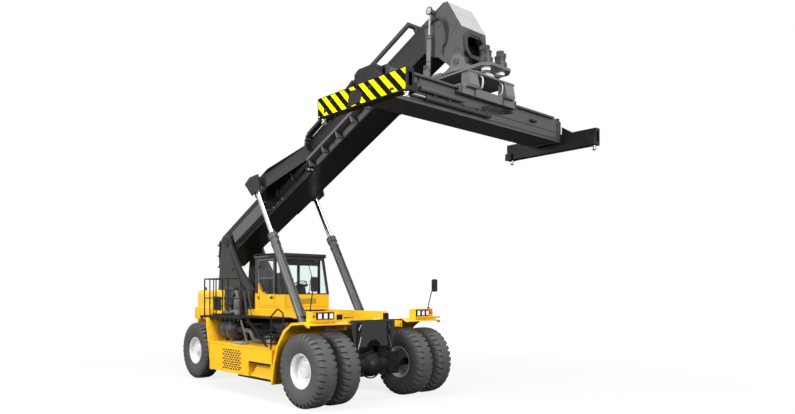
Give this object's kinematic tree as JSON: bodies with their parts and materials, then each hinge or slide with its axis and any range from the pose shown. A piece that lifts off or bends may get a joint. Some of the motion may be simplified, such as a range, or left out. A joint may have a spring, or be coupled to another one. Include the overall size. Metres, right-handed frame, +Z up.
{
  "type": "reach stacker",
  "caption": "Container handler with a telescopic lifting boom, a slewing telescopic spreader with twistlocks, a central cab and rear-wheel steering.",
  "frame": {"origin": "on the ground, under the middle of the overall bounding box", "axes": "+X forward, towards the spreader; +Y to the machine's left; +Z up"},
  "size_m": [12.1252, 6.04, 8.6896],
  "materials": {
    "body_yellow": "gloss",
    "frame_black": "satin",
    "boom_grey": "satin",
    "machinery_grey": "satin",
    "cab_trim": "matte",
    "rod_chrome": "polished",
    "window_glass": "gloss",
    "tyre_rubber": "matte",
    "rim_white": "satin"
  },
  "bodies": {
    "chassis": {"chassis_frame": "frame_black", "frame_neck": "frame_black", "engine_block": "machinery_grey", "boom_tower": "frame_black", "counterweight": "body_yellow", "tow_block": "body_yellow", "tow_jaw": "body_yellow", "engine_hood": "body_yellow", "front_fenders": "body_yellow", "side_boxes": "body_yellow", "boarding_steps": "frame_black", "wheel_guards": "body_yellow", "walkways": "frame_black", "handrails": "frame_black", "air_cleaner": "machinery_grey", "filter_cans": "machinery_grey", "fluid_tanks": "body_yellow", "cab_rails": "body_yellow", "cab_shell": "body_yellow", "cab_glass": "window_glass", "cab_seat": "cab_trim", "steering_console": "cab_trim", "headlamps": "frame_black", "mirrors": "frame_black", "drive_axle": "frame_black", "steer_axle": "frame_black"},
    "cab_door": {"cab_door": "cab_trim", "door_glass": "window_glass"},
    "boom": {"boom_outer": "boom_grey", "boom_wings": "boom_grey", "chain_tray": "boom_grey", "hose_duct": "boom_grey", "energy_chain": "cab_trim"},
    "boom_inner": {"boom_inner": "boom_grey", "boom_nose": "boom_grey", "chain_carrier": "boom_grey"},
    "head": {"slew_head": "boom_grey"},
    "slew_frame": {"slew_frame": "machinery_grey"},
    "spreader": {"spreader_beam": "boom_grey"},
    "arm_right": {"spreader_arm_right": "boom_grey"},
    "arm_left": {"spreader_arm_left": "boom_grey"},
    "lift_barrels": {"lift_barrels": "boom_grey"},
    "lift_rods": {"lift_rods": "rod_chrome"},
    "damper_barrels": {"damper_barrels": "boom_grey"},
    "damper_rods": {"damper_rods": "rod_chrome"},
    "knuckle_right": {"knuckle_right": "frame_black"},
    "knuckle_left": {"knuckle_left": "frame_black"},
    "steer_wheel_right": {"steer_tyre_right": "tyre_rubber", "steer_rim_right": "rim_white"},
    "steer_wheel_left": {"steer_tyre_left": "tyre_rubber", "steer_rim_left": "rim_white"},
    "drive_wheel_right": {"drive_tyres_right": "tyre_rubber", "drive_rims_right": "rim_white"},
    "drive_wheel_left": {"drive_tyres_left": "tyre_rubber", "drive_rims_left": "rim_white"}
  },
  "joints": [
    {"name": "cab_door_hinge", "type": "hinge", "parent": "chassis", "child": "cab_door", "pos_m": [-2.3425, -0.76, 3], "axis": [0, 0, 1], "range_deg": [-85, 0]},
    {"name": "boom_lift", "type": "hinge", "parent": "chassis", "child": "boom", "pos_m": [-4.5625, 0, 4.2], "axis": [0, 1, 0], "range_deg": [-35, 15]},
    {"name": "boom_extend", "type": "slide", "parent": "boom", "child": "boom_inner", "axis": [0.9063, 0, 0.4226], "range_m": [0, 5.6]},
    {"name": "head_level", "type": "hinge", "parent": "boom_inner", "child": "head", "pos_m": [4.8436, 0, 7.3095], "axis": [0, 1, 0], "range_deg": [-15, 35]},
    {"name": "slew", "type": "hinge", "parent": "head", "child": "slew_frame", "pos_m": [4.8436, 0, 7.3095], "axis": [0, 0, 1], "range_deg": [-195, 105]},
    {"name": "side_shift", "type": "slide", "parent": "slew_frame", "child": "spreader", "axis": [0, 1, 0], "range_m": [-0.8, 0.8]},
    {"name": "telescope_right", "type": "slide", "parent": "spreader", "child": "arm_right", "axis": [0, -1, 0], "range_m": [0, 3.06]},
    {"name": "telescope_left", "type": "slide", "parent": "spreader", "child": "arm_left", "axis": [0, 1, 0], "range_m": [0, 3.06]},
    {"name": "lift_swing", "type": "hinge", "parent": "chassis", "child": "lift_barrels", "pos_m": [0.5775, 0, 1.3], "axis": [0, 1, 0], "range_deg": [-1.25, 0.54]},
    {"name": "lift_stroke", "type": "slide", "parent": "lift_barrels", "child": "lift_rods", "axis": [-0.5294, 0, 0.8483], "range_m": [-0.7248, 1.6898]},
    {"name": "damper_swing", "type": "hinge", "parent": "head", "child": "damper_barrels", "pos_m": [4.0876, 0, 7.3495], "axis": [0, 1, 0], "range_deg": [-39.97, 17.13]},
    {"name": "damper_stroke", "type": "slide", "parent": "damper_barrels", "child": "damper_rods", "axis": [0.0416, 0, 0.9991], "range_m": [-0.4375, 0.1881]},
    {"name": "steer_right", "type": "hinge", "parent": "chassis", "child": "knuckle_right", "pos_m": [-4.7625, -0.9, 0.845], "axis": [0, 0, 1], "range_deg": [-45, 45]},
    {"name": "steer_left", "type": "hinge", "parent": "chassis", "child": "knuckle_left", "pos_m": [-4.7625, 0.9, 0.845], "axis": [0, 0, 1], "range_deg": [-45, 45]},
    {"name": "steer_wheel_right", "type": "hinge", "parent": "knuckle_right", "child": "steer_wheel_right", "pos_m": [-4.7625, -1.29, 0.845], "axis": [0, 1, 0], "continuous": true},
    {"name": "drive_wheel_right", "type": "hinge", "parent": "chassis", "child": "drive_wheel_right", "pos_m": [1.6375, -1.5, 0.845], "axis": [0, 1, 0], "continuous": true},
    {"name": "steer_wheel_left", "type": "hinge", "parent": "knuckle_left", "child": "steer_wheel_left", "pos_m": [-4.7625, 1.29, 0.845], "axis": [0, 1, 0], "continuous": true},
    {"name": "drive_wheel_left", "type": "hinge", "parent": "chassis", "child": "drive_wheel_left", "pos_m": [1.6375, 1.5, 0.845], "axis": [0, 1, 0], "continuous": true}
  ],
  "couplings": [
    {"joint": "head_level", "follows": "boom_lift", "ratio": -1},
    {"joint": "lift_swing", "follows": "boom_lift", "ratio": 0.0356},
    {"joint": "lift_stroke", "follows": "boom_lift", "m_per_rad": -2.7645},
    {"joint": "damper_swing", "follows": "boom_lift", "ratio": 1.1419},
    {"joint": "damper_stroke", "follows": "boom_lift", "m_per_rad": 0.71448},
    {"joint": "telescope_left", "follows": "telescope_right", "ratio": 1},
    {"joint": "steer_left", "follows": "steer_right", "ratio": 1}
  ]
}
